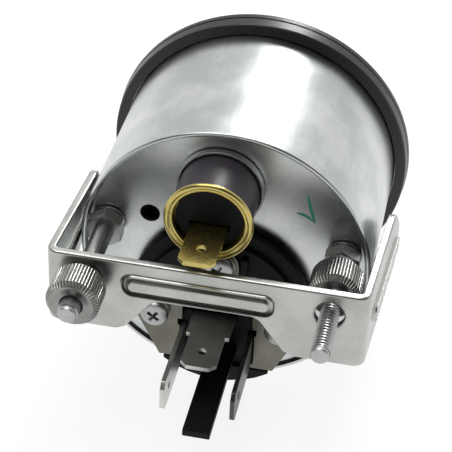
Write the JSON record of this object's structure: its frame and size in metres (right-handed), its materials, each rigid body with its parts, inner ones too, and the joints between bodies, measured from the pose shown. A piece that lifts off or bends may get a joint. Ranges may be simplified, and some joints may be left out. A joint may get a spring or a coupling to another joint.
{
  "type": "fuel gauge",
  "caption": "Round dashboard fuel gauge in a plated can with a black bezel, push-in lamp holder, blade terminals and a U clamp bracket on two studs.",
  "frame": {"origin": "centre of the bezel's rear plane, which seats on the front of the dashboard panel", "axes": "+Y along the case from the dial to the terminals, +Z towards twelve o'clock, dial facing -Y"},
  "size_m": [0.0591, 0.0653, 0.0572],
  "materials": {
    "zinc_plated_steel": "zinc plated sheet, satin",
    "bright_zinc": "bright zinc plating",
    "black_bezel": "satin black paint",
    "clear_glass": "clear, polished",
    "seal_rubber": "matte",
    "black_plastic": "moulded, slightly glossy",
    "dial_black": "matte black",
    "pointer_orange": "matte paint",
    "steel": "plain",
    "magnet": "dark sintered",
    "former_plastic": "natural nylon",
    "copper_wire": "enamelled copper winding",
    "brass": "plain brass",
    "resistor_body": "lacquered"
  },
  "bodies": {
    "gauge_body": {"case_shell": "zinc_plated_steel", "terminal_plate": "zinc_plated_steel", "movement_frame": "zinc_plated_steel", "tab_centre": "zinc_plated_steel", "tab_left": "zinc_plated_steel", "tab_right": "zinc_plated_steel", "stud_left": "bright_zinc", "stud_right": "bright_zinc", "stud_washer_left": "bright_zinc", "stud_washer_right": "bright_zinc", "stud_nut_left": "bright_zinc", "stud_nut_right": "bright_zinc", "lamp_ferrule": "bright_zinc", "terminal_screw_left": "bright_zinc", "terminal_screw_right": "bright_zinc", "terminal_screw_top": "bright_zinc", "bezel_ring": "black_bezel", "lens": "clear_glass", "lens_seal": "seal_rubber", "terminal_base": "black_plastic", "lamp_socket": "black_plastic", "dial_plate": "dial_black", "mask_ring": "dial_black", "dial_post_left": "steel", "dial_post_right": "steel", "former_front": "former_plastic", "former_rear": "former_plastic", "coil_inner": "copper_wire", "coil_outer": "copper_wire", "bearing_front": "brass", "bearing_rear": "brass", "pillar_left": "brass", "pillar_right": "brass", "pillar_top": "brass", "resistor": "resistor_body"},
    "pointer_group": {"pointer": "pointer_orange", "pointer_hub": "black_plastic", "spindle": "steel", "rotor_magnet": "magnet"},
    "bracket": {"clamp_bracket": "zinc_plated_steel"},
    "left_thumb_nut": {"thumb_nut_left": "bright_zinc"},
    "right_thumb_washer": {"thumb_washer_right": "bright_zinc"},
    "right_thumb_nut": {"thumb_nut_right": "bright_zinc"},
    "lamp_holder": {"lamp_shell": "brass", "lamp_insulator": "black_plastic", "lamp_tab": "brass", "lamp_bulb": "clear_glass", "lamp_spring": "steel"}
  },
  "joints": [
    {"name": "pointer_sweep", "type": "hinge", "parent": "gauge_body", "child": "pointer_group", "pos_m": [0, 0, 0], "axis": [0, 1, 0], "range_deg": [0, 80]},
    {"name": "bracket_slide", "type": "slide", "parent": "gauge_body", "child": "bracket", "axis": [0, 1, 0], "range_m": [-0.0015, 0.0025]},
    {"name": "left_thumb_turn", "type": "hinge", "parent": "bracket", "child": "left_thumb_nut", "pos_m": [0.021, 0.0502, 0.0042], "axis": [0, 1, 0], "range_deg": [-771.43, 1285.72]},
    {"name": "right_washer_slide", "type": "slide", "parent": "gauge_body", "child": "right_thumb_washer", "axis": [0, 1, 0], "range_m": [0, 0.0015]},
    {"name": "right_thumb_turn", "type": "hinge", "parent": "right_thumb_washer", "child": "right_thumb_nut", "pos_m": [-0.021, 0.038, 0.0042], "axis": [0, 1, 0], "range_deg": [0, 771.43]},
    {"name": "lamp_holder_slide", "type": "slide", "parent": "gauge_body", "child": "lamp_holder", "axis": [0, 1, 0], "range_m": [0, 0.0022]}
  ],
  "couplings": [
    {"joint": "left_thumb_turn", "follows": "bracket_slide", "rad_per_m": 8976},
    {"joint": "right_thumb_turn", "follows": "right_washer_slide", "rad_per_m": 8976}
  ]
}
